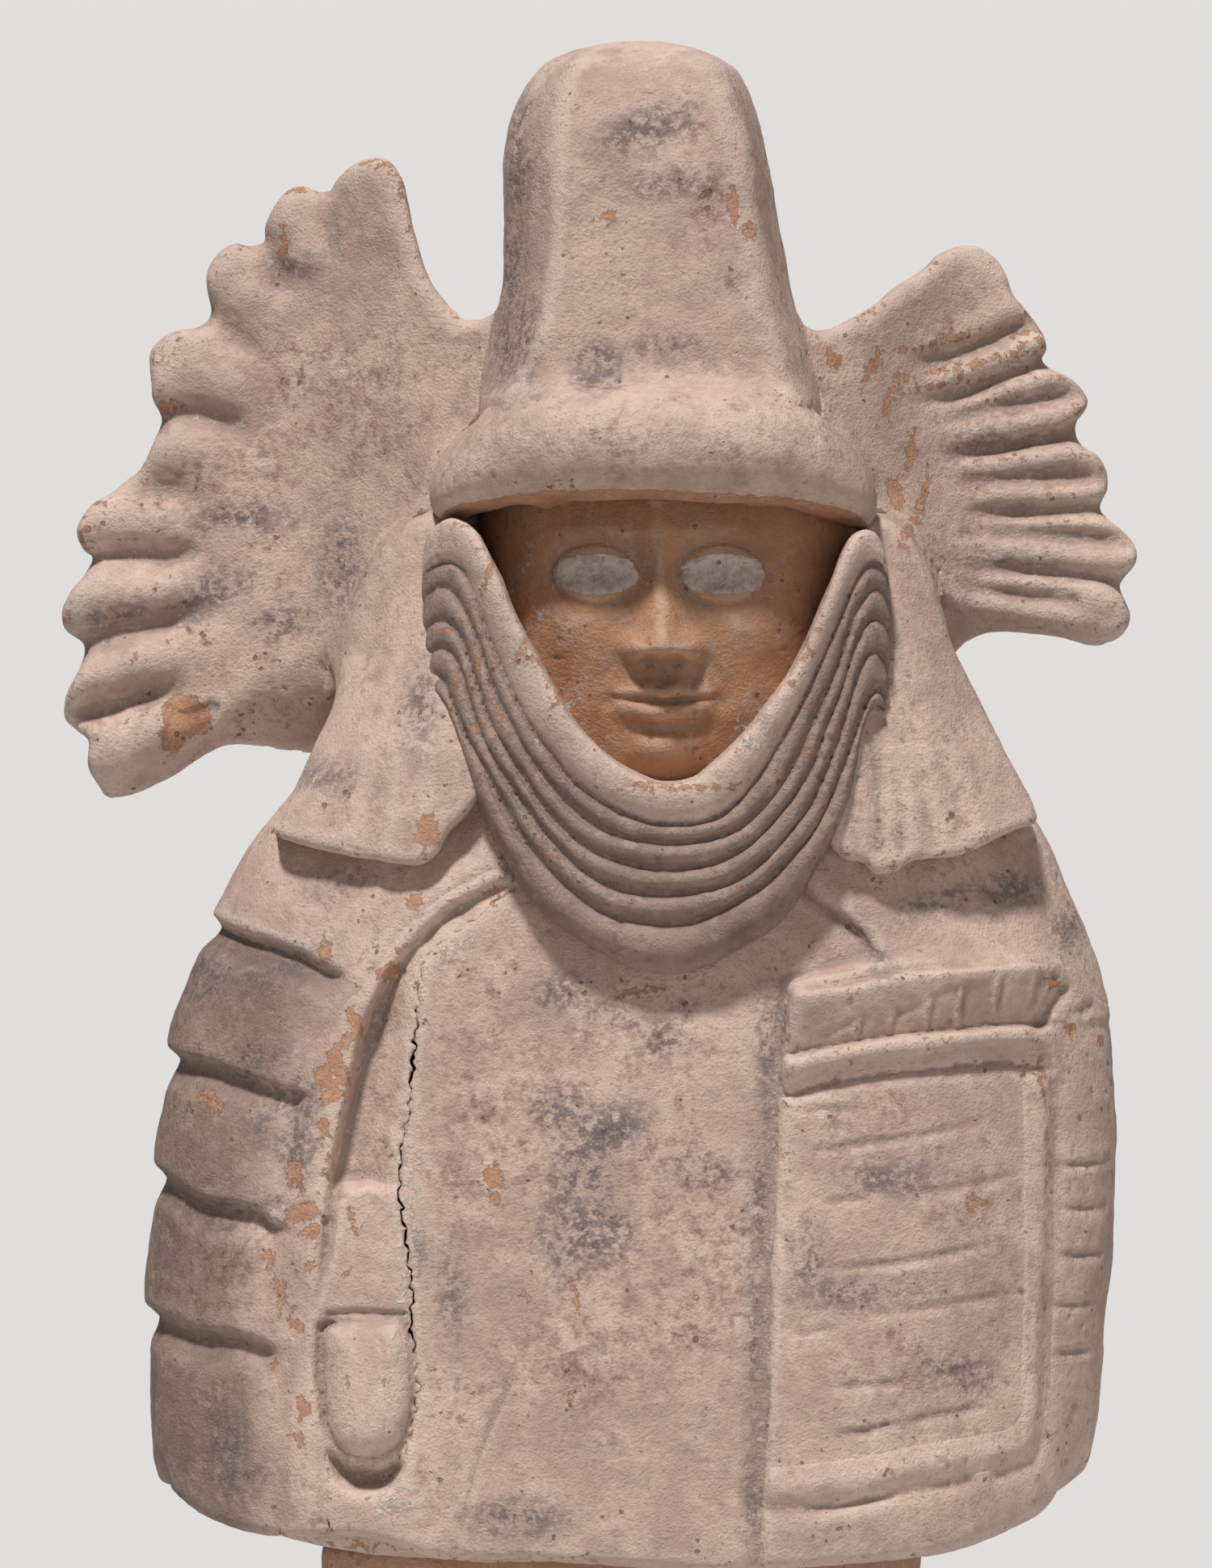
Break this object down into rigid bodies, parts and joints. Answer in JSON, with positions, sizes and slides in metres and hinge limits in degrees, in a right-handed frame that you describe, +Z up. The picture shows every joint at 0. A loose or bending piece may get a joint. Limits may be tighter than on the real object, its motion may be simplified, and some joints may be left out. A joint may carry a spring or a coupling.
{
  "type": "terracotta whistle figure",
  "caption": "Standing warrior figure of fired clay that is also a whistle: tall helmet, feather fans, quilted sleeve, tunic and shield, with a blown dome at the back.",
  "frame": {"origin": "on the ground, at the middle of the figure's footprint box", "axes": "+Z up, the front faces -Y, +X to the viewer's right"},
  "size_m": [0.133, 0.0817, 0.2265],
  "materials": {
    "pale_slip": "matt pale slip, worn and stained",
    "grey_slip": "matt grey slip, worn and stained",
    "bare_clay": "matt fired clay"
  },
  "bodies": {
    "root": {"helmet_crown": "pale_slip", "brow_roll": "pale_slip", "face_plate": "bare_clay", "face_rim": "pale_slip", "collar_fold_1": "grey_slip", "collar_fold_2": "grey_slip", "collar_fold_3": "grey_slip", "collar_fold_4": "grey_slip", "collar_fold_5": "grey_slip", "head_back_shell": "pale_slip", "left_feather_fan": "grey_slip", "right_feather_fan": "pale_slip", "left_lappet": "pale_slip", "right_lappet": "pale_slip", "left_shoulder_yoke": "pale_slip", "right_shoulder_cape": "pale_slip", "sleeve_band_1": "grey_slip", "sleeve_band_2": "grey_slip", "sleeve_band_3": "grey_slip", "sleeve_band_4": "grey_slip", "sleeve_border": "pale_slip", "tunic_panel": "pale_slip", "forearm": "pale_slip", "fist": "pale_slip", "shield_board": "pale_slip", "shield_top_roll": "pale_slip", "shield_bar": "pale_slip", "shield_frame": "pale_slip", "body_front_shell": "pale_slip", "body_back_shell": "bare_clay", "kilt": "bare_clay", "left_leg": "bare_clay", "right_leg": "bare_clay", "left_sandal": "bare_clay", "right_sandal": "bare_clay", "resonator_dome": "bare_clay", "mouthpiece": "bare_clay"}
  },
  "joints": []
}
